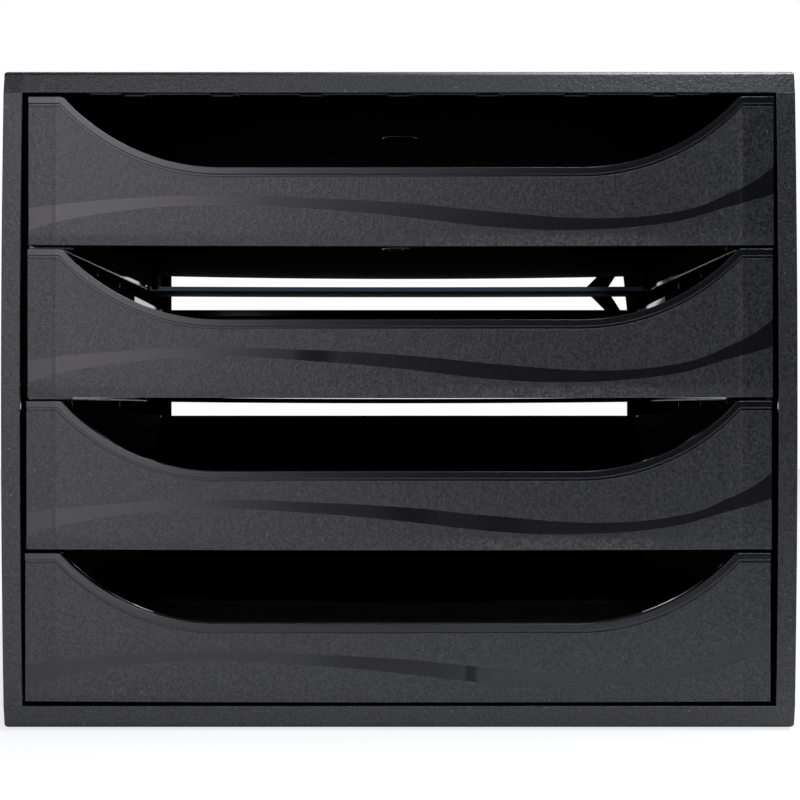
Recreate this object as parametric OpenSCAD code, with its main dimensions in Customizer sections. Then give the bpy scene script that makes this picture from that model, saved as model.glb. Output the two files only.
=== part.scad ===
// Letter tray stack with four open-fronted drawers, in moulded black plastic.
// A housing of two side panels, a top and a bottom panel and three rear shelves
// carries four one-piece drawers, which slide on ledges moulded on the side panels.
// Millimetres. The origin is the middle of the footprint, on the surface that the
// feet stand on; +X is to the right, +Y to the back and +Z up.

/* [Housing] */
// Width across the side panels, at mid height
housing_w = 284; // [264:1:320]
// Depth from the front edges to the back
housing_d = 348; // [300:1:400]
// Height of the housing, without its feet
housing_h = 234; // [210:1:300]
// Height of the rim round the top and bottom panels
rim_h = 7.6; // [7:0.1:10]
// How far the rim leans in over its height
rim_draft = 0.35; // [0.1:0.05:0.6]
// Radius of the long edges of the top and bottom panels
rim_r = 1.4; // [0.8:0.1:2]
// Thickness of the panels
panel_t = 2.4; // [2:0.1:3]
// How far the side panels bow outwards at mid height
side_bow = 0.9; // [0.3:0.1:1.4]
// Width of a side panel's front edge
edge_w = 6.7; // [6:0.1:9]
// Depth of a side panel's front edge
edge_d = 3; // [2:0.1:6]
// How far each post stands in from the ledges
post_reach = 4.5; // [3:0.1:7]

/* [Ledges] */
// Thickness of the ledges that the drawers slide on
ledge_t = 2.2; // [1.8:0.1:2.6]
// How far the ledges' undersides lie below the drawer fronts' lower edges
ledge_drop = 1; // [0.8:0.1:1.3]
// Height of the guide lip above the runner slot
guide_h = 9; // [6:0.5:14]
// Wall of the guides and sockets
guide_t = 1.8; // [1.2:0.1:2.4]
// Height of the studs under the ledges
stud_h = 3.7; // [2:0.1:6]
// Distance from stud to stud along a ledge
stud_pitch = 72; // [45:1:90]

/* [Drawers] */
// Gap between one drawer front and the next
front_gap = 1.4; // [1.2:0.1:2]
// Gap at each side of a drawer front
side_gap = 1.4; // [1.2:0.1:3]
// Play that each drawer has taken up to the right, from the top one down
drawer_shift = [0.6, 0.3, -0.1, -0.5]; // [-0.6:0.1:0.6]
// Gap under the lowest drawer front
bottom_gap = 1.65; // [1.5:0.05:3]
// Gap over the highest drawer front
top_gap = 1.45; // [1.3:0.05:3]
// How far the drawer fronts stand back from the housing's front
front_setback = 0.6; // [0.6:0.1:2]
// Thickness of a drawer front
front_t = 2.4; // [2:0.1:3]
// Depth of the front's edges behind its face
front_edge_d = 7; // [5:0.5:10]
// How far a front's lower edge bows down at the middle
front_bow = 0.4; // [0.1:0.05:0.6]
// Thickness of a tray's walls
wall_t = 1.8; // [1.4:0.1:2.2]
// Thickness of a tray's floor
floor_t = 1.8; // [1.4:0.1:2.4]
// Height of the tray floor's underside over the front's lower edge, at the walls
floor_lift = 9.2; // [8:0.1:12]
// How far the tray floor sags at the middle
floor_sag = 1.5; // [0.2:0.1:2]
// Drop from the front's upper edge to a side wall, at the front
wall_drop_front = 2; // [1.5:0.1:5]
// Drop from the front's upper edge to the back wall
wall_drop_back = 6.9; // [5:0.1:15]
// Radius of a tray's rear corners
tray_corner_r = 6; // [3:0.5:12]
// Width of the runner along each side of a tray
runner_w = 8.4; // [7:0.1:10]
// Thickness of the runners
runner_t = 2; // [1.5:0.1:2.5]

/* [Scoop in the drawer fronts] */
// Depth of the scoop
scoop_depth = 25.2; // [15:0.1:32]
// Radius of the curve at each end of the scoop
scoop_r = 75.5; // [45:0.5:90]
// Width of the flat ear left at each end of a front
ear_w = 11; // [6:0.5:40]
// Radius where the scoop meets the front's upper edge
ear_r = 3; // [2:0.1:4]
// Width of the smooth band along the upper edge
band_w = 2.4; // [2:0.1:4]
// How far the band stands proud of the face
band_proud = 0.5; // [0.2:0.05:0.6]
// Width of the groove under the band
groove_w = 0.9; // [0.5:0.05:1.5]
// Depth of the groove under the band
groove_d = 0.4; // [0.2:0.05:0.8]

/* [Rear shelves] */
// Depth of a rear shelf
shelf_d = 56; // [30:1:80]
// How far the middle and lower rear shelves sag at the middle
shelf_sag = 1; // [0.2:0.1:1.6]
// How far the upper rear shelf, which the fork holds, sags at the middle
braced_sag = 0.4; // [0.1:0.1:1]
// Width of the forked brace's arms where they part
fork_w = 8.3; // [5:0.1:9]
// Thickness of the forked brace
fork_t = 2; // [1.5:0.1:2.6]
// Distance from the fork's point to the post
fork_reach = 22.5; // [18:0.5:30]
// Height of the fork's point over the shelf
fork_lift = 1.4; // [0:0.1:3]
// Slope of the arms' outer edges, in degrees
fork_angle = 45; // [38:1:48]
// Height of the arms where they meet the post
fork_end = 3.1; // [2:0.1:6]
// Width that the brace's web adds to the post at its upper end
fork_web = 4.3; // [2:0.1:6]

/* [Feet] */
// Diameter of a foot
foot_dia = 16; // [10:0.5:24]
// How far a foot stands proud of the bottom panel
foot_proud = 1; // [0.5:0.1:2]
// Depth of the round seats in the top and bottom panels
seat_depth = 1; // [0.6:0.1:1.4]
// Distance from the seats' middle to the panel's edges
seat_inset = 24; // [16:1:40]

/* [Clearances] */
// Sliding clearance between a runner and its ledge
slide_gap = 0.2; // [0.1:0.05:0.3]
// Clearance between a runner and the guide over it
guide_gap = 0.5; // [0.3:0.1:0.8]
// Clearance from a runner's outer edge to the line of the front edges
runner_gap = 1.7; // [1.5:0.1:3]
// Clearance from a tray's side wall to the guide lips
wall_gap = 3.7; // [2:0.1:5]
// Clearance behind a closed tray
back_gap = 5.6; // [4:0.2:8]
// Clearance behind the drawer fronts' edges
rail_gap = 1.9; // [1.5:0.1:3]
// Clearance between a stop and the ledge beside it
stop_gap = 1; // [0.8:0.1:1.4]
// Clearance round the parts that plug together
fit_gap = 0.2; // [0.15:0.05:0.3]

/* [Hidden] */
$fn = 96;

levels = 4;
plastic = [0.23, 0.23, 0.25];
plastic_tray = [0.18, 0.18, 0.2];
rubber = [0.1, 0.1, 0.1];
merge = 0.6;             // how far joined shapes run into each other
bow_steps = 16;          // straight pieces in a bowed edge

// Housing, from the outside in
y_front = -housing_d / 2;
y_back = housing_d / 2;
base_z = foot_proud;
top_z = base_z + housing_h;
side_z0 = base_z + rim_h;
side_z1 = top_z - rim_h;
side_h = side_z1 - side_z0;
panel_hw = housing_w / 2 - side_bow;
skin_x = panel_hw - panel_t;
edge_x = panel_hw - edge_w;
return_y = y_back - panel_t;

// Drawer levels: 1 is the highest, and each gives its front's lower edge
pitch = (side_h - bottom_gap - top_gap + front_gap) / levels;
front_h = pitch - front_gap;
front_hw = edge_x - side_gap;
function level_z(n) = side_z0 + bottom_gap + (levels - n) * pitch;

// Across a drawer, and what runs beside it
runner_x = edge_x - runner_gap;
tray_x = runner_x - runner_w;
tray_in = tray_x - wall_t;
ledge_x = tray_in;
guide_x = tray_x + wall_gap;
post_x = ledge_x - post_reach;

// Heights over a front's lower edge
ledge_top = ledge_t - ledge_drop;
runner_z = ledge_top + slide_gap;
guide_z = runner_z + runner_t + guide_gap;
wall_front_z = front_h - wall_drop_front;
wall_back_z = front_h - wall_drop_back;

// Scoop: circles of scoop_r meet the ears' circles of ear_r at ear_x
ear_x = front_hw - ear_w;
scoop_x = ear_x - sqrt(pow(scoop_r + ear_r, 2) - pow(scoop_r + ear_r - scoop_depth, 2));

// Along the drawers
face_y = y_front + front_setback;
plate_y = face_y + front_t;
edge_y = face_y + front_edge_d;
rail_y = edge_y + rail_gap;
tray_y = return_y - back_gap;
shelf_y1 = return_y - fit_gap;
shelf_y0 = shelf_y1 - shelf_d;
rail_end = shelf_y0 - fit_gap;

// Stops: a tab on each ledge, and a nib under each tray that meets it
tab_d = 3;
nib_d = 4;
nib_w = 2.9;
nib_clear = 2.5;
nib_y1 = shelf_y0 - nib_clear;
nib_y0 = nib_y1 - nib_d;
nib_x1 = ledge_x - stop_gap;
nib_z = -ledge_drop + slide_gap * 2;
travel = nib_y0 - (rail_y + tab_d) - slide_gap;

// Small moulded details
lip_t = 2;               // wall of the front's turned-back edges
tongue_t = 2;            // tongues that locate the top and bottom panels
tongue_l = 30;
tongue_h = rim_h - panel_t - 0.7;
rib_t = 1.6;             // rib behind the top panel's front rim
rib_y = y_front + 7.4;
pocket_w = 8;            // pockets where the rib steps back
pocket_d = 3.9;
pocket_pitch = 31.8;
gate_r = 7;              // round dimple where the plastic is injected
gate_d = 0.6;
gate_y = y_front + 128;
stud_r = 1.4;
stud_x = (tray_x + edge_x) / 2;
stud_first = 65;         // from a ledge's front end to its first stud

// ---------------------------------------------------------------- shapes

// A box given by its limits along each axis
module block(x, y, z) {
    translate([x[0], y[0], z[0]]) cube([x[1] - x[0], y[1] - y[0], z[1] - z[0]]);
}

// A flat shape drawn in X and Z, carried along Y
module along_y(y0, y1) {
    translate([0, y1, 0]) rotate([90, 0, 0]) linear_extrude(y1 - y0) children();
}

// A flat shape drawn in Y and Z, carried along X
module along_x(x0, x1) {
    translate([x0, 0, 0]) rotate([90, 0, 90]) linear_extrude(x1 - x0) children();
}

// Points of a shallow bow over the span a to b, sag at the middle
function bow(a, b, sag) = [
    for (i = [0:bow_steps])
        let (u = 2 * i / bow_steps - 1)
            [(a + b) / 2 + u * (b - a) / 2, sag * (1 - u * u)]
];

// Section of a plate t thick that sags at the middle, its ends on z = 0
module sagging_2d(hw, sag, t) {
    lower = bow(-hw, hw, -sag);
    last = len(lower) - 1;
    polygon(concat(lower, [for (i = [last:-1:0]) [lower[i][0], lower[i][1] + t]]));
}

// ---------------------------------------------------------------- panels

// Section of a shallow lid: leaning sides and rounded upper corners
module lid_section(half) {
    lean = atan(rim_draft / rim_h);
    cz = rim_h - rim_r;
    cx = half - rim_draft * cz / rim_h - rim_r / cos(lean);
    tangent = [cx + rim_r * cos(lean), cz + rim_r * sin(lean)];
    polygon([
        [-half, 0], [half, 0], tangent, [cx, rim_h],
        [-cx, rim_h], [-tangent[0], tangent[1]]
    ]);
    for (s = [-1, 1]) translate([s * cx, cz]) circle(rim_r);
}

// One panel lying like a lid: rim down, plate on top, from z = 0 to rim_h
module lid() {
    difference() {
        intersection() {
            along_y(y_front, y_back) lid_section(panel_hw);
            along_x(-panel_hw, panel_hw) lid_section(housing_d / 2);
        }
        block([-skin_x, skin_x], [y_front + panel_t, return_y], [-1, rim_h - panel_t]);
        for (sx = [-1, 1], sy = [-1, 1])
            translate([sx * (panel_hw - seat_inset), sy * (y_back - seat_inset), rim_h - seat_depth])
                cylinder(d = foot_dia + 2 * fit_gap, h = seat_depth + 1);
        translate([0, 0, rim_h - panel_t - 1]) cylinder(r = gate_r, h = gate_d + 1);
    }
}

// Rib behind the top panel's front rim, with seven pockets where it steps back
module front_rib() {
    rib_hw = 3.5 * pocket_pitch;
    centres = [for (i = [-3:3]) i * pocket_pitch];
    difference() {
        union() {
            block([-rib_hw, rib_hw], [rib_y - rib_t, rib_y], [0, rim_h - panel_t + merge]);
            for (x = centres)
                block([x - pocket_w / 2 - rib_t, x + pocket_w / 2 + rib_t],
                      [rib_y - rib_t, rib_y + pocket_d], [0, rim_h - panel_t + merge]);
        }
        for (x = centres)
            block([x - pocket_w / 2, x + pocket_w / 2],
                  [rib_y - rib_t - 1, rib_y + pocket_d - rib_t], [-1, rim_h - panel_t]);
    }
}

module top_panel() {
    color(plastic) translate([0, 0, side_z1]) {
        lid();
        front_rib();
    }
}

module bottom_panel() {
    color(plastic) translate([0, 0, side_z0]) mirror([0, 0, 1]) lid();
}

// ----------------------------------------------------------- side panels

// The outer wall, bowed outwards between its lower and upper edges
module side_skin() {
    along_y(y_front, y_back) polygon(concat(
        [for (p = bow(side_z0, side_z1, side_bow)) [panel_hw + p[1], p[0]]],
        [[skin_x, side_z1], [skin_x, side_z0]]
    ));
}

// Ledge, guide and stop tab of one level, with studs under the ledge
module side_ledge(n) {
    z = level_z(n);
    last = n == levels;
    end_y = last ? return_y + merge : rail_end;
    ledge_z = z - ledge_drop;
    block([ledge_x, skin_x + merge], [rail_y, end_y], [ledge_z, ledge_z + ledge_t]);
    block([post_x, ledge_x + merge], [rail_y, rail_y + tab_d], [ledge_z, ledge_z + ledge_t]);
    block([guide_x, skin_x + merge], [rail_y, rail_end],
          [z + guide_z, z + guide_z + guide_t]);
    block([guide_x, guide_x + guide_t], [rail_y, rail_end],
          [z + guide_z, z + guide_z + guide_h]);
    if (!last)
        for (y = [rail_y + stud_first : stud_pitch : rail_end - 2 * stud_r])
            translate([stud_x, y, ledge_z - stud_h]) cylinder(r = stud_r, h = stud_h + merge);
}

// Slot that takes the end of a rear shelf: one rib under it and one over it
module shelf_socket(n) {
    z = level_z(n) - ledge_drop;
    block([runner_x, skin_x + merge], [shelf_y0, return_y + merge],
          [z - fit_gap - guide_t, z - fit_gap]);
    block([edge_x, skin_x + merge], [shelf_y0, return_y + merge],
          [z + ledge_t + fit_gap, z + ledge_t + fit_gap + guide_t]);
}

// Tongues that reach into the rims of the top and bottom panels
module side_tongues() {
    x1 = skin_x - fit_gap;
    x0 = x1 - tongue_t;
    for (y = [y_front / 2 - tongue_l, -tongue_l / 2, y_back / 2], s = [0, 1]) {
        edge = s == 0 ? side_z0 : side_z1;
        root = edge - s * tongue_h;
        block([x0, x1], [y, y + tongue_l], [edge - tongue_h, edge + tongue_h]);
        block([x0, skin_x + merge], [y, y + tongue_l], [root, root + tongue_h]);
    }
}

// The thick front edge, which bows with the wall
module side_edge() {
    along_y(y_front, y_front + edge_d) polygon(concat(
        [for (p = bow(side_z0, side_z1, side_bow)) [edge_x + p[1], p[0]]],
        [[skin_x + merge, side_z1], [skin_x + merge, side_z0]]
    ));
}

// The right-hand panel
module side_panel() {
    side_skin();
    side_edge();
    block([post_x, skin_x + merge], [return_y, y_back], [side_z0, side_z1]);
    for (n = [1:levels]) side_ledge(n);
    for (n = [1:levels - 1]) shelf_socket(n);
    side_tongues();
}

module side_panel_right() {
    color(plastic) side_panel();
}

module side_panel_left() {
    color(plastic) mirror([1, 0, 0]) side_panel();
}

// ---------------------------------------------------------- rear shelves

// A thin shelf across the back under one drawer level, sagging at the middle
module rear_shelf(n, sag) {
    translate([0, 0, level_z(n) - ledge_drop])
        along_y(shelf_y0, shelf_y1) sagging_2d(skin_x - fit_gap, sag, ledge_t);
}

// Two tapered arms and a slanting web that brace the shelf against the right-hand post
module fork(n) {
    zc = level_z(n) + ledge_top + fork_lift;
    w = fork_w / sin(fork_angle);
    x0 = post_x - fork_reach;
    x1 = post_x + post_reach;
    rise = (x1 - x0) * tan(fork_angle);
    along_y(shelf_y1 - fork_t, shelf_y1) {
        polygon([
            [x0, zc], [x1, zc - rise], [x1, zc - rise + fork_end],
            [x0 + w, zc], [x1, zc + rise - fork_end], [x1, zc + rise]
        ]);
        polygon([
            [post_x, zc - rise / 2], [x1, zc - rise / 2],
            [x1, zc + rise], [post_x - fork_web, zc + rise]
        ]);
    }
}

module rear_shelf_upper() {
    color(plastic_tray) {
        rear_shelf(1, braced_sag);
        fork(1);
    }
}

module rear_shelf_middle() {
    color(plastic_tray) rear_shelf(2, shelf_sag);
}

module rear_shelf_lower() {
    color(plastic_tray) rear_shelf(3, shelf_sag);
}

// --------------------------------------------------------------- drawers

// The scoop, grown by g: a flat bottom between two circles
module scoop_2d(g) {
    cz = front_h - scoop_depth + scoop_r;
    for (s = [-1, 1]) translate([s * scoop_x, cz]) circle(scoop_r + g);
    translate([-scoop_x, front_h - scoop_depth - g])
        square([2 * scoop_x, scoop_depth + g + 1]);
}

// The front's plain outline, its lower edge bowed down a little
module front_blank_2d(h) {
    polygon(concat(
        bow(-front_hw, front_hw, -front_bow),
        [[front_hw, h], [-front_hw, h]]
    ));
}

// The front as seen: blank less scoop, its two ears rounded
module front_2d() {
    cz = front_h - scoop_depth + scoop_r;
    ez = front_h - ear_r;
    touch = scoop_r / (scoop_r + ear_r);
    tx = scoop_x + (ear_x - scoop_x) * touch;
    tz = cz + (ez - cz) * touch;
    difference() {
        front_blank_2d(front_h);
        scoop_2d(0);
        for (s = [-1, 1])
            polygon([
                [s * tx, tz], [s * ear_x, ez],
                [s * ear_x, front_h + 1], [s * tx, front_h + 1]
            ]);
    }
    for (s = [-1, 1]) translate([s * ear_x, ez]) circle(ear_r);
}

// What lies more than w below the front's upper edge
module below_band_2d(w) {
    difference() {
        front_blank_2d(front_h - w);
        scoop_2d(w);
    }
}

// A strip of the front that follows its upper edge, w wide
module band_2d(w) {
    difference() {
        front_2d();
        below_band_2d(w);
    }
}

// The drawer front: face, proud band, groove, and edges turned back
module drawer_front() {
    difference() {
        along_y(face_y, plate_y) front_2d();
        along_y(face_y - 1, face_y + groove_d) difference() {
            below_band_2d(band_w);
            below_band_2d(band_w + groove_w);
        }
    }
    along_y(face_y - band_proud, face_y + merge) band_2d(band_w);
    along_y(plate_y - merge, edge_y) difference() {
        front_2d();
        intersection() {
            below_band_2d(lip_t);
            translate([-front_hw + lip_t, lip_t])
                square([2 * (front_hw - lip_t), front_h]);
        }
    }
}

// Plan of the tray: open at the front, rounded at the rear corners
module tray_plan(hw, y1, r) {
    translate([-hw, plate_y - merge]) square([2 * hw, y1 - r - plate_y + merge]);
    translate([-hw + r, y1 - r - 1]) square([2 * (hw - r), r + 1]);
    for (s = [-1, 1]) translate([s * (hw - r), y1 - r]) circle(r);
}

// Walls: a plan profile cut along the sloping upper edge
module tray_walls() {
    intersection() {
        translate([0, 0, floor_lift]) linear_extrude(front_h) difference() {
            tray_plan(tray_x, tray_y, tray_corner_r);
            translate([0, -merge]) tray_plan(tray_in, tray_y - wall_t + merge, tray_corner_r - wall_t);
        }
        along_x(-front_hw, front_hw) polygon([
            [plate_y - merge, 0], [tray_y, 0],
            [tray_y, wall_back_z], [plate_y - merge, wall_front_z]
        ]);
    }
}

// One drawer, its front's lower edge at z = 0
module drawer_body() {
    drawer_front();
    difference() {
        intersection() {
            linear_extrude(front_h) tray_plan(tray_x, tray_y, tray_corner_r);
            translate([0, 0, floor_lift])
                along_y(plate_y - merge, tray_y) sagging_2d(tray_x, floor_sag, floor_t);
        }
        translate([0, gate_y, floor_lift - floor_sag - 1]) cylinder(r = gate_r, h = gate_d + 1);
    }
    tray_walls();
    skirt_y = tray_y - tray_corner_r;
    for (s = [0, 1]) mirror([s, 0, 0]) {
        block([tray_in, tray_x], [plate_y - merge, skirt_y], [runner_z, floor_lift + merge]);
        block([tray_in, runner_x], [plate_y - merge, skirt_y], [runner_z, runner_z + runner_t]);
        block([nib_x1 - nib_w, nib_x1], [nib_y0, nib_y1], [nib_z, floor_lift + merge]);
    }
}

module drawer(n) {
    color(plastic_tray) translate([drawer_shift[n - 1], 0, level_z(n)]) drawer_body();
}

module drawer_1() {
    drawer(1);
}

module drawer_2() {
    drawer(2);
}

module drawer_3() {
    drawer(3);
}

module drawer_4() {
    drawer(4);
}

// ------------------------------------------------------------------ feet

// A rubber pad in its seat, its lower edge bevelled
module foot(sx, sy) {
    bevel = foot_proud / 2;
    color(rubber)
        translate([sx * (panel_hw - seat_inset), sy * (y_back - seat_inset), 0])
            rotate_extrude() polygon([
                [0, 0], [foot_dia / 2 - bevel, 0], [foot_dia / 2, bevel],
                [foot_dia / 2, foot_proud + seat_depth], [0, foot_proud + seat_depth]
            ]);
}

module foot_front_left() {
    foot(-1, -1);
}

module foot_front_right() {
    foot(1, -1);
}

module foot_rear_left() {
    foot(-1, 1);
}

module foot_rear_right() {
    foot(1, 1);
}

echo(travel = travel, pitch = pitch, front_h = front_h);

top_panel();
bottom_panel();
side_panel_left();
side_panel_right();
rear_shelf_upper();
rear_shelf_middle();
rear_shelf_lower();
drawer_1();
drawer_2();
drawer_3();
drawer_4();
foot_front_left();
foot_front_right();
foot_rear_left();
foot_rear_right();
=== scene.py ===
"""A letter tray stack with four drawers in moulded black plastic, dressed for a picture.

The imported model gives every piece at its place, in metres, with +Z up and the
drawers opening towards -Y. What follows is the stand that it is photographed on,
and then the object as it is put together: housing, rear shelves, drawers and feet.
"""
import math

import bpy
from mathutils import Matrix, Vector


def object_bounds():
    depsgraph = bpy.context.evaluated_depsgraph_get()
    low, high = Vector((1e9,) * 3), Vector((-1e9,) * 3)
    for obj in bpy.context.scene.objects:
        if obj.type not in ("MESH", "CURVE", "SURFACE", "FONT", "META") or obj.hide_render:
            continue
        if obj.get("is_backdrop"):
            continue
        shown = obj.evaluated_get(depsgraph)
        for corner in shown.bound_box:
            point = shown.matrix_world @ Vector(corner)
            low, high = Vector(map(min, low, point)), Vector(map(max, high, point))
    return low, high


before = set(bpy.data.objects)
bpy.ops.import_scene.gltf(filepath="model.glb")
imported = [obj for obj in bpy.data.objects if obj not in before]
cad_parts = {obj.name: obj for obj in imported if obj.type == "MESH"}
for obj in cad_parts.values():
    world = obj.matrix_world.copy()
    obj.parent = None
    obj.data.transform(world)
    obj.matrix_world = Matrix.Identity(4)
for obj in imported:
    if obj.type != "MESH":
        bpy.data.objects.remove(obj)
cad_low, cad_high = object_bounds()
MM = 0.001

# ---------------------------------------------------------------- the viewpoint
# The photograph looks straight at the drawer fronts, from the middle of the second
# gap down, close enough that the open back looks a third smaller than the front.

EYE_HEIGHT = 116 * MM
EYE_DISTANCE = 766 * MM           # from the housing's front edges
FOCAL, SENSOR = 96.7, 36          # in mm
SHIFT_ACROSS, SHIFT_UP = 0.0009, 0.0062
NEAREST, FARTHEST = 0.02, 60      # what the camera sees, in metres

lens = bpy.data.cameras.new("viewpoint")
lens.lens = FOCAL
lens.sensor_width = SENSOR
lens.shift_x, lens.shift_y = SHIFT_ACROSS, SHIFT_UP
lens.clip_start, lens.clip_end = NEAREST, FARTHEST
camera = bpy.data.objects.new("viewpoint", lens)
camera.location = (0, cad_low.y - EYE_DISTANCE, EYE_HEIGHT)
camera.rotation_euler = (math.pi / 2, 0, 0)
bpy.context.scene.collection.objects.link(camera)
bpy.context.scene.camera = camera
bpy.context.scene.view_settings.view_transform = "Standard"


# ------------------------------------------------------- the studio and its lights
# A pale sheet to stand on, a white surround, a wall of soft boxes at the front left, two
# small cool ones high on the right, and lamps above and behind that light the sheet.


class Wire:
    """A value in a shader. Adding, multiplying and so on lays the Math nodes for it."""

    def __init__(self, tree, socket=None):
        self.tree, self.socket = tree, socket

    def node(self, kind, settings=None, **inputs):
        """A node of any kind: its settings first, then values or wires by socket name or iN."""
        made = self.tree.nodes.new(kind)
        for key, value in (settings or {}).items():
            if key == "points":
                curve = made.mapping.curves[0].points
                while len(curve) < len(value):
                    curve.new(0.5, 0.5)
                for point, at in zip(curve, value):
                    point.location = at
                made.mapping.update()
            else:
                setattr(made, key, value)
        for key, value in inputs.items():
            numbered = key[0] == "i" and key[1:].isdigit()
            socket = made.inputs[int(key[1:]) if numbered else key.replace("_", " ")]
            if isinstance(value, Wire):
                self.tree.links.new(value.socket, socket)
            else:
                socket.default_value = value
        return made

    def of(self, made, output=0):
        """A wire from one of a node's outputs, given by its name or its number."""
        return Wire(self.tree, made.outputs[output])

    def math(self, operation, *values):
        """One Math node over the values given."""
        inputs = {f"i{n}": v for n, v in enumerate(values)}
        return self.of(self.node("ShaderNodeMath", {"operation": operation}, **inputs))

    def __add__(self, other):
        return self.math("ADD", self, other)

    def __radd__(self, other):
        return self.math("ADD", other, self)

    def __sub__(self, other):
        return self.math("SUBTRACT", self, other)

    def __rsub__(self, other):
        return self.math("SUBTRACT", other, self)

    def __mul__(self, other):
        return self.math("MULTIPLY", self, other)

    def __rmul__(self, other):
        return self.math("MULTIPLY", other, self)

    def __truediv__(self, other):
        return self.math("DIVIDE", self, other)

    def __abs__(self):
        return self.math("ABSOLUTE", self)

    def above(self, low, high):
        """0 below low, 1 above high, and a smooth rise between them."""
        return self.of(self.node("ShaderNodeMapRange", {"interpolation_type": "SMOOTHSTEP"},
                                 Value=self, From_Min=low, From_Max=high))


ROOM_LEVEL = 0.015                # light that the dark part of the studio gives back
BACK_FROM, BACK_TO = 0.05, 0.5    # a reflection that goes back by this much turns white

world = bpy.data.worlds.new("studio")
bpy.context.scene.world = world
world.use_nodes = True
world.node_tree.nodes.clear()
room = Wire(world.node_tree)
ray = room.node("ShaderNodeLightPath")
seen = room.math("MAXIMUM", room.of(ray, "Is Camera Ray"), room.of(ray, "Is Transmission Ray"))
direction = room.of(room.node("ShaderNodeTexCoord"), "Generated")
behind = room.of(room.node("ShaderNodeSeparateXYZ", Vector=direction), "Y")
behind = behind.above(BACK_FROM, BACK_TO)
white = room.math("MAXIMUM", seen, room.of(ray, "Is Glossy Ray") * behind)
background = room.node("ShaderNodeBackground", Color=(1, 1, 1, 1),
                       Strength=white + (1 - white) * ROOM_LEVEL)
room.node("ShaderNodeOutputWorld", Surface=room.of(background))


def soft_box(name, place, target, size, power, tint):
    """A rectangular lamp at place that faces target, with its size in metres."""
    lamp = bpy.data.lights.new(name, "AREA")
    lamp.shape = "RECTANGLE"
    lamp.size, lamp.size_y = size
    lamp.energy = power
    lamp.color = tint
    made = bpy.data.objects.new(name, lamp)
    made.location = place
    made.rotation_euler = (Vector(target) - Vector(place)).to_track_quat("-Z", "Y").to_euler()
    bpy.context.scene.collection.objects.link(made)


MAIN_TINT, COOL_TINT = (0.94, 0.9, 1), (0.82, 0.91, 1)
OVER_TINT, REAR_TINT = (0.92, 0.92, 1), (1, 1, 1)
WALL_Y = -1.75                    # the wall is one bright panel with dimmer ones around it
WALL_OF_LIGHT = {                 # middle across and up, width and height, watts
    "soft_box_left": (-0.46, 0.705, 0.52, 0.64, 4.75),
    "soft_box_middle": (-0.46, 0.268, 0.52, 0.235, 1.25),
    "soft_box_low": (-0.46, -0.05, 0.52, 0.4, 1.6),
    "soft_box_beside": (-0.068, 0.73, 0.264, 0.69, 1.25),
}

for name, (middle, up, wide, high, power) in WALL_OF_LIGHT.items():
    soft_box(name, (middle, WALL_Y, up), (middle, 0, up), (wide, high), power, MAIN_TINT)
soft_box("soft_box_cool", (0.32, -0.75, 1.15), (0.1, -0.17, 0.2), (0.45, 0.35), 8.5, COOL_TINT)
soft_box("soft_box_skirt", (0.41, -1.2, 0.74), (0.11, -0.17, 0.23), (0.14, 0.12), 0.85, COOL_TINT)
soft_box("soft_box_over", (0.5, -0.1, 1.35), (0.4, -0.2, 0), (0.6, 0.6), 25, OVER_TINT)
soft_box("soft_box_rear", (0, 1.6, 1.2), (0, 0.1, 0.1), (1.6, 0.8), 10, REAR_TINT)


def material(name):
    """A new empty material and the wire that lays its nodes."""
    made = bpy.data.materials.new(name)
    made.use_nodes = True
    made.node_tree.nodes.clear()
    return made, Wire(made.node_tree)


SHEET_X, SHEET_FRONT, SHEET_BACK = 3.0, -0.62, 3.0
SHEET_WHITE = (0.8, 0.8, 0.8, 1)
SHEET_GLOW = 0.8                  # share of plain white that the camera sees in the sheet

sheet, w = material("pale_sheet")
shade = w.of(w.node("ShaderNodeBsdfDiffuse", Color=SHEET_WHITE))
glow = w.of(w.node("ShaderNodeEmission", Color=(1, 1, 1, 1), Strength=1.0))
to_camera = w.of(w.node("ShaderNodeLightPath"), "Is Camera Ray")
paper = w.node("ShaderNodeMixShader", i0=to_camera * SHEET_GLOW, i1=shade, i2=glow)
w.node("ShaderNodeOutputMaterial", Surface=w.of(paper))

floor_mesh = bpy.data.meshes.new("floor")
corners = [(-SHEET_X, SHEET_FRONT, 0), (SHEET_X, SHEET_FRONT, 0), (SHEET_X, SHEET_BACK, 0),
           (-SHEET_X, SHEET_BACK, 0)]
floor_mesh.from_pydata(corners, [], [(0, 1, 2, 3)])
floor_mesh.materials.append(sheet)
floor = bpy.data.objects.new("floor", floor_mesh)
bpy.context.scene.collection.objects.link(floor)
floor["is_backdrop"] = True

# ------------------------------------------------------------------ the housing
# Two side panels and a top and a bottom panel, injection moulded in black plastic and
# plugged together. Their outer faces come grained from the mould. The inner ones are
# smooth, and those that lie level or far back have no gloss.

SKIN_DARK, SKIN_LIGHT = (0.003, 0.003, 0.0035, 1), (0.024, 0.024, 0.026, 1)
FLECK = (0.16, 0.16, 0.17, 1)
INNER_BLACK = (0.003, 0.003, 0.0035, 1)
GRAIN_FINE, GRAIN_COARSE, GRAIN_DEPTH = 0.6 * MM, 1.4 * MM, 0.05 * MM
GRAIN_MEAN = 0.85                 # so that a polished area lies level with the grain
GRIT_SIZE, GRIT_TOPS = 0.55 * MM, (0.33, 0.67)
SPECK_SIZE, SPECK_PEAKS, SPECK_SHARE = 0.7 * MM, (0.8, 0.86), 0.5
MOTTLE_SIZE = 30 * MM             # broad areas that are a little rougher or smoother
SMOOTH = 0.08                     # roughness of a polished face
GRAINED, MOTTLED = 0.26, 0.05     # and what the grain and its rougher areas add to it
PLASTIC_IOR = 1.5
MATT, MATT_GLOSS = 0.9, 0.03      # roughness and specular level where there is no gloss
ROUND_SAMPLES = 6                 # that smooth the look of a rounded edge
EDGE_RADIUS = 0.45 * MM           # how far from an edge its rounding begins
INNER_RADIUS = 2.2                # times that at the inner edges
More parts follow.
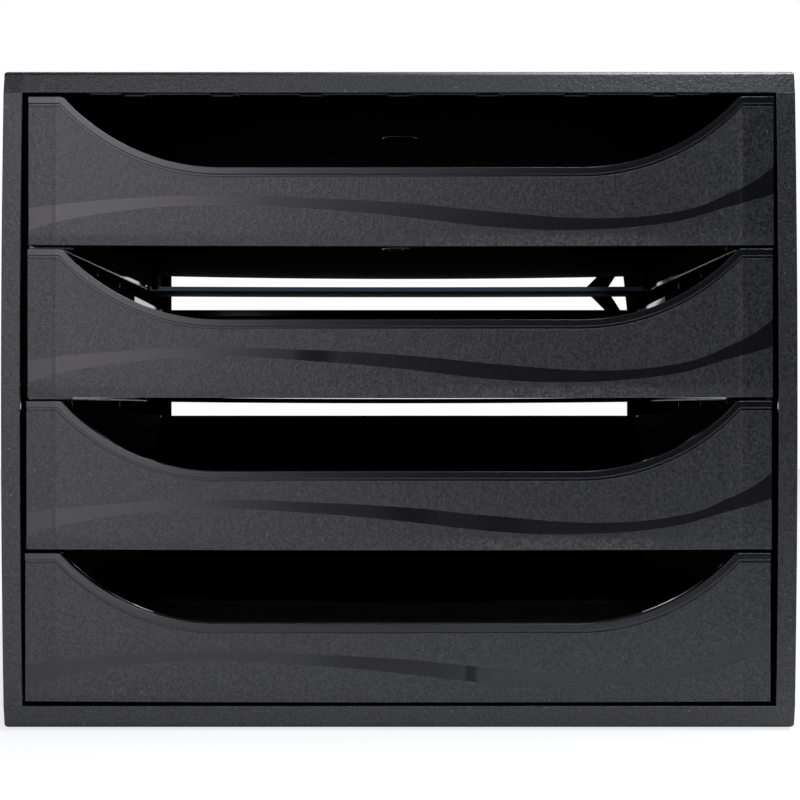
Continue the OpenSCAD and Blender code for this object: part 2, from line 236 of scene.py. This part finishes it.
SQUARE = 0.95                     # a face is square to an axis if its normal has more of it
INSIDE_X = 139.6 * MM             # just outside the side panels' inner faces
INSIDE_Y = 173.3 * MM
SIDE_TOP = 227.4 * MM
PLATE_TOP, PLATE_UNDER = 233.6 * MM, 2.4 * MM
LEDGE_X, LEDGE_END = 137 * MM, 104 * MM  # beyond these the inner faces have no gloss
GATE_RADIUS = 7.5 * MM            # round glossy dimples where the plastic was injected
SKIRT_LEAN = 8                    # degrees by which the top panel's skirt leans back
SKIRT_BOW = 0.14                  # and how fast it turns to the sides, per metre
SKIRT_FROM, SKIRT_TO, SKIRT_GRAIN = 30 * MM, 90 * MM, 1.8  # its grain deepens to the right
BORDER_X, BORDER_TURN = 134 * MM, 3  # beyond this the front edges turn outwards, in degrees
HOUSING_ROUNDING = 0.4 * MM
WELD_REACH = 0.001 * MM
ROUNDING_STEPS, ROUNDING_FROM = 3, 35  # faces across a rounding, and least angle in degrees
NOISE_WIDTH = 0.75                # of the features of a noise whose scale is 1


def place(w):
    """A surface point's place on its piece, as one vector and as x, y and z."""
    spot = w.of(w.node("ShaderNodeTexCoord"), "Object")
    parts = w.node("ShaderNodeSeparateXYZ", Vector=spot)
    return spot, w.of(parts, "X"), w.of(parts, "Y"), w.of(parts, "Z")


def noise(w, spot, size, detail=2.0, roughness=0.5):
    """Smooth noise between 0 and 1 with features about size across."""
    return w.of(w.node("ShaderNodeTexNoise", Vector=spot, Scale=NOISE_WIDTH / size,
                       Detail=detail, Roughness=roughness))


def mix(w, share, first, second):
    """A colour that goes from the first to the second as share goes from 0 to 1."""
    made = w.node("ShaderNodeMix", {"data_type": "RGBA"}, i0=share, i6=first, i7=second)
    return w.of(made, 2)


def grain(w, spot):
    """Height of the moulded grain: fine noise on coarse noise, less their usual sum."""
    height = noise(w, spot, GRAIN_FINE, 1.0) + noise(w, spot, GRAIN_COARSE, 1.0) - GRAIN_MEAN
    return height * GRAIN_DEPTH


def specks(w, spot):
    """Sparse bright flecks: the peaks of a fine noise."""
    return noise(w, spot, SPECK_SIZE, 0.0).above(*SPECK_PEAKS) * SPECK_SHARE


def grit(w, spot):
    """Where the grain's tops are worn pale: 1 on them and 0 between them."""
    return noise(w, spot, GRIT_SIZE, 1.0).above(*GRIT_TOPS)


def normal(w, axis):
    """One part of the direction that a face looks in, before any bump."""
    looks = w.node("ShaderNodeNewGeometry")
    return w.of(w.node("ShaderNodeSeparateXYZ", Vector=w.of(looks, "True Normal")), axis)


def gate(w, x, y):
    """1 within the dimple whose centre lies where x and y are 0, and 0 around it."""
    return w.math("LESS_THAN", w.math("SQRT", x * x + y * y), GATE_RADIUS)


def plastic(w, colour, roughness, height, dull=None, painted_glow=(0, 0, 0, 1), radius=EDGE_RADIUS):
    """The shader of a moulded plastic: its height in metres goes through Bump, over edges
    that look rounded by the radius. Where dull is 1 the mould was left rough, and the
    surface has no gloss at all. The glow colour given there is painted light: an emission
    that stands in for light that a surface deep inside picks up."""
    rounded = w.of(w.node("ShaderNodeBevel", {"samples": ROUND_SAMPLES}, Radius=radius))
    bump = w.of(w.node("ShaderNodeBump", Distance=1.0, Strength=1.0, Height=height,
                       Normal=rounded))
    glossy = w.of(w.node("ShaderNodeBsdfPrincipled", Base_Color=colour, Roughness=roughness,
                         IOR=PLASTIC_IOR, Normal=bump))
    if dull is not None:
        # the matt shader carries the painted glow as an emission
        matt = w.node("ShaderNodeBsdfPrincipled", Base_Color=colour, Roughness=MATT,
                      IOR=PLASTIC_IOR, Specular_IOR_Level=MATT_GLOSS, Emission_Color=painted_glow,
                      Emission_Strength=1.0)
        glossy = w.of(w.node("ShaderNodeMixShader", i0=dull, i1=glossy, i2=w.of(matt)))
    w.node("ShaderNodeOutputMaterial", Surface=glossy)


def dress(name, finish, rounding):
    """Gives a CAD piece its finish, and edges rounded as they come from the mould."""
    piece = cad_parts[name]
    piece.data.materials.clear()
    piece.data.materials.append(finish)
    weld = piece.modifiers.new("weld", "WELD")
    weld.merge_threshold = WELD_REACH
    bevel = piece.modifiers.new("rounding", "BEVEL")
    bevel.width = rounding
    bevel.segments = ROUNDING_STEPS
    bevel.limit_method = "ANGLE"
    bevel.angle_limit = math.radians(ROUNDING_FROM)
    bevel.harden_normals = True


housing_black, w = material("housing_black")
spot, x, y, z = place(w)
beside = w.math("GREATER_THAN", abs(x), INSIDE_X)
before = w.math("GREATER_THAN", abs(y), INSIDE_Y)
over = w.math("GREATER_THAN", z, PLATE_TOP)
under = w.math("LESS_THAN", z, PLATE_UNDER)
outer = w.math("MAXIMUM", w.math("MAXIMUM", beside, before), w.math("MAXIMUM", over, under))
skirt = w.math("GREATER_THAN", z, SIDE_TOP)
lean = w.math("MAXIMUM", z - SIDE_TOP, 0.0) * -math.tan(math.radians(SKIRT_LEAN))
lean = lean - skirt * x * x * SKIRT_BOW
border = w.math("MAXIMUM", abs(x) - BORDER_X, 0.0) * -math.tan(math.radians(BORDER_TURN))
deeper = 1 + x.above(SKIRT_FROM, SKIRT_TO) * skirt * SKIRT_GRAIN
away = w.math("GREATER_THAN", abs(x), LEDGE_X)
away = w.math("MAXIMUM", away, w.math("GREATER_THAN", y, LEDGE_END))
level = w.math("GREATER_THAN", abs(normal(w, "Z")), SQUARE)
dull = w.math("MAXIMUM", level, away) * (1 - outer) * (1 - gate(w, x, y))
mottle = noise(w, spot, MOTTLE_SIZE, 3.0)
skin = mix(w, specks(w, spot), mix(w, grit(w, spot), SKIN_DARK, SKIN_LIGHT), FLECK)
plastic(w, mix(w, outer, INNER_BLACK, skin),
        SMOOTH + outer * (GRAINED + mottle * MOTTLED),
        (grain(w, spot) * deeper + lean + border * before) * outer,
        dull, radius=(INNER_RADIUS - outer * (INNER_RADIUS - 1)) * EDGE_RADIUS)

HOUSING = ("top_panel", "bottom_panel", "side_panel_left", "side_panel_right")
for name in HOUSING:
    dress(name, housing_black, HOUSING_ROUNDING)

# -------------------------------------------------------------- the rear shelves
# Three thin shelves across the back, moulded in black plastic and plugged in between the
# side panels. They are smooth on both faces, and a forked brace on the upper one holds
# the right post.

SHELF_BLACK, SHELF_DULL = (0.018, 0.022, 0.031, 1), 0.98
SHELF_ROUGH, RIPPLE_ADDS = 0.3, 0.2  # least roughness, and what the ripple adds to it
RIPPLE_SIZE, RIPPLE_DEPTH = 25 * MM, 0.05 * MM
PAINTED_GLOW = (0.024, 0.030, 0.044, 1)  # a painted glow: emission on the upper shelf's front edge that stands in for light from behind
SHELF_EDGE, SHELF_UPPER = 116 * MM, 150 * MM  # that edge lies before and over these
GLOW_FROM, GLOW_TO, GLOW_LOSS = 89 * MM, 105 * MM, 0.8  # and the painted glow darkens to the right here
SHELF_ROUNDING = 0.2 * MM

shelf_black, w = material("shelf_black")
spot, x, y, z = place(w)
ripple = noise(w, spot, RIPPLE_SIZE, 2.0)
# The upper shelf's front edge glows with painted light, an emission in its matt shader.
painted_glow_edge = w.math("LESS_THAN", y, SHELF_EDGE) * w.math("LESS_THAN", normal(w, "Y"), -SQUARE)
painted_glow_edge = painted_glow_edge * w.math("GREATER_THAN", z, SHELF_UPPER)
painted_glow_edge = painted_glow_edge * (1 - x.above(GLOW_FROM, GLOW_TO) * GLOW_LOSS)
plastic(w, SHELF_BLACK, SHELF_ROUGH + ripple * RIPPLE_ADDS, ripple * RIPPLE_DEPTH, SHELF_DULL,
        mix(w, painted_glow_edge, (0, 0, 0, 1), PAINTED_GLOW))

for name in ("rear_shelf_upper", "rear_shelf_middle", "rear_shelf_lower"):
    dress(name, shelf_black, SHELF_ROUNDING)

# ------------------------------------------------------------------ the drawers
# Each drawer is one moulding in black plastic: a grained front with a polished band along
# its upper edge and a polished wave across it, and a half matt tray behind, which runs on
# the side panels' ledges.

LEVEL_LOW = 10.25 * MM            # lower edge of the lowest front
LEVEL_PITCH = 54.275 * MM
LEVEL_UNDER = 1 * MM              # a storey begins this far under its front
FRONT_HALF = 133 * MM
BAND_Y = -173.65 * MM             # the band stands proud of this plane
GROOVE_Y = -173.2 * MM            # the groove's bottom lies behind this one
FACE_BACK_Y = -172.8 * MM         # and the whole face in front of this one
WALL_X = 122.6 * MM               # where the tray's side walls meet the front
EAR_TURN, EAR_MORE = 4, 5         # degrees by which the ears fall back, and more at right
RIDGE_LEFT, RIDGE_RIGHT = (-124.4 * MM, -120.8 * MM), (120.3 * MM, 123.7 * MM)
RIDGE_RISE, RIDGE_FAINT = 0.13 * MM, 0.4  # step by the side walls, and its share at left
EAR_FROM, EAR_TO, EAR_GRAIN = 100 * MM, 122 * MM, 0.8  # the grain deepens to the right ear
GATE_Y = -46 * MM                 # centre of the dimple under the tray
RIM_STOREY, RIM_Y, RIM_HEIGHT = 2.0, 52 * MM, 43 * MM  # that tray's walls shine past these
WAVE_BLUR = 0.15 * MM
WAVE_TOP = 40 * MM                # height that the curves below call 1
WAVE_UPPER = [(-133, 13.0), (-106, 16.0), (-70, 17.8), (-34, 16.9), (0, 15.1), (36, 11.7),
              (72, 9.5), (95, 11.2), (118, 18.5), (133, 27.6)]
WAVE_LOWER = [(-133, 4.6), (-106, 11.3), (-70, 14.3), (-34, 13.0), (0, 10.1), (36, 6.2),
              (58, 5.3), (90, 7.1), (118, 13.7), (133, 18.0)]
SMEARS = [(2, -30.5, 7, 0.65), (1, 4, 9, 0.5), (1, 36, 9, 0.4), (0, -2, 30, 0.4),
          (0, 25.5, 2.5, 0.6)]    # dull spots: storey, middle and reach in mm, strength
SMEAR_FROM, SMEAR_TO = 0.4, 1.3   # a spot fades out between these shares of its reach
FACE_DARK, FACE_LIGHT = (0.003, 0.003, 0.0034, 1), (0.022, 0.022, 0.024, 1)
POLISHED_BLACK = (0.004, 0.004, 0.005, 1)
TRAY_DARK, TRAY_LIGHT = (0.008, 0.008, 0.0085, 1), (0.02, 0.02, 0.021, 1)
TRAY_INSIDE, FLOOR_DULL, TRAY_GRAIN = (0.004, 0.004, 0.0044, 1), 0.93, 0.3
LOW_STRIP = (2 * MM, 5 * MM)      # a strip along the face's lower edge, rougher and partly paler, ends between these
PALE_START, PALE_END = (0, 40 * MM), (86 * MM, 98 * MM)  # from here to there that strip is paler in colour too
PALE_SHARE = 0.13
FRONT_ADDS, FACE_ADDS, LOW_EDGE_ADDS = 0.12, 0.12, 0.08  # roughness over a polished face's
TRAY_ADDS, TRAY_MOTTLED = 0.22, 0.14
DRAWER_ROUNDING = 0.4 * MM


def wave_edge(w, across, points):
    """Height of one edge of the wave: a smooth curve through its points, in metres."""
    unit = [((x_mm * MM / FRONT_HALF + 1) / 2, z_mm * MM / WAVE_TOP) for x_mm, z_mm in points]
    made = w.node("ShaderNodeFloatCurve", {"points": unit}, Factor=1.0, Value=across)
    return w.of(made) * WAVE_TOP


drawer_black, w = material("drawer_black")
spot, x, y, z = place(w)
height = w.math("WRAP", z - LEVEL_LOW, LEVEL_PITCH - LEVEL_UNDER, -LEVEL_UNDER)
across = (x / FRONT_HALF + 1) * 0.5
wave = (height - wave_edge(w, across, WAVE_LOWER)).above(-WAVE_BLUR, WAVE_BLUR)
wave = wave * (wave_edge(w, across, WAVE_UPPER) - height).above(-WAVE_BLUR, WAVE_BLUR)
band = w.math("LESS_THAN", y, BAND_Y)
front = w.math("LESS_THAN", y, FACE_BACK_Y)
polished = w.math("MAXIMUM", band, wave * front)
groove = w.math("GREATER_THAN", y, GROOVE_Y)
rough = front * (1 - w.math("MAXIMUM", polished, groove))
storey = w.math("FLOOR", (z - LEVEL_LOW) / LEVEL_PITCH)
smears = 0.0
for drawer, centre, reach, strength in SMEARS:
    near = 1 - abs(x - centre * MM).above(SMEAR_FROM * reach * MM, SMEAR_TO * reach * MM)
    here = w.math("COMPARE", storey, float(drawer), 0.5)
    smears = w.math("MAXIMUM", smears, near * here * strength)
mottle = noise(w, spot, MOTTLE_SIZE, 3.0)

right = w.math("GREATER_THAN", x, 0.0)
turn = math.tan(math.radians(EAR_TURN)) + right * math.tan(math.radians(EAR_MORE))
ear = w.math("MAXIMUM", abs(x) - WALL_X, 0.0) * turn * -1
ridge = x.above(*RIDGE_LEFT) * RIDGE_FAINT + x.above(*RIDGE_RIGHT)
ridge = ridge * (1 - band) * RIDGE_RISE
deeper = 1 + x.above(EAR_FROM, EAR_TO) * EAR_GRAIN

# Along its lower edge the face is rougher, and on all but the lowest drawer lighter in colour
# over part of its width.
low_edge = 1 - height.above(*LOW_STRIP)
face = mix(w, specks(w, spot), mix(w, grit(w, spot), FACE_DARK, FACE_LIGHT), FLECK)
pale = low_edge * grit(w, spot) * x.above(*PALE_START) * (1 - x.above(*PALE_END))
pale = pale * w.math("GREATER_THAN", storey, 0.5) * PALE_SHARE
face = mix(w, pale, face, FLECK)

sideways, along, upwards = normal(w, "X") * w.math("SIGN", x), normal(w, "Y"), normal(w, "Z")
most = w.math("MAXIMUM", sideways, w.math("MAXIMUM", along, upwards))
least = w.math("MINIMUM", sideways, w.math("MINIMUM", along, upwards))
outside = w.math("GREATER_THAN", most, SQUARE) * (1 - front)
inside = w.math("LESS_THAN", least, -SQUARE) * (1 - front)
rim = w.math("GREATER_THAN", height, RIM_HEIGHT) * w.math("GREATER_THAN", y, RIM_Y)
rim = rim * w.math("COMPARE", storey, RIM_STOREY, 0.5)
floor_top = outside * w.math("GREATER_THAN", upwards, SQUARE)
dimple = gate(w, x, y - GATE_Y) * w.math("LESS_THAN", upwards, 0.5)
matt = w.math("MAXIMUM", inside, floor_top * FLOOR_DULL) * (1 - rim) * (1 - dimple)
tray = mix(w, outside, TRAY_INSIDE, mix(w, grit(w, spot), TRAY_DARK, TRAY_LIGHT))
tray = mix(w, front, tray, POLISHED_BLACK)

dullness = SMOOTH + front * FRONT_ADDS + outside * (TRAY_ADDS + mottle * TRAY_MOTTLED)
dullness = dullness + rough * (FACE_ADDS + mottle * MOTTLED + low_edge * LOW_EDGE_ADDS)
plastic(w, mix(w, rough, tray, face), dullness,
        grain(w, spot) * (deeper * rough + outside * TRAY_GRAIN) + (ear + ridge) * front,
        w.math("MAXIMUM", matt, wave * front * smears))

for name in ("drawer_1", "drawer_2", "drawer_3", "drawer_4"):
    dress(name, drawer_black, DRAWER_ROUNDING)

# --------------------------------------------------------------------- the feet
# Four round pads of moulded rubber, glued into seats in the bottom panel. They are matt
# and dusty.

RUBBER, DUST = (0.012, 0.012, 0.012, 1), (0.05, 0.048, 0.045, 1)
DUST_SIZE, DUST_PATCHES, DUST_SHARE = 4 * MM, (0.45, 0.8), 0.5
RUBBER_ROUGH, DUST_ADDS = 0.75, 0.15
PORE_SIZE, PORE_DEPTH = 0.3 * MM, 0.01 * MM
FOOT_ROUNDING = 0.2 * MM

foot_rubber, w = material("foot_rubber")
spot, x, y, z = place(w)
dust = noise(w, spot, DUST_SIZE, 4.0).above(*DUST_PATCHES)
plastic(w, mix(w, dust * DUST_SHARE, RUBBER, DUST), RUBBER_ROUGH + dust * DUST_ADDS,
        noise(w, spot, PORE_SIZE) * PORE_DEPTH)

for name in ("foot_front_left", "foot_front_right", "foot_rear_left", "foot_rear_right"):
    dress(name, foot_rubber, FOOT_ROUNDING)

low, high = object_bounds()
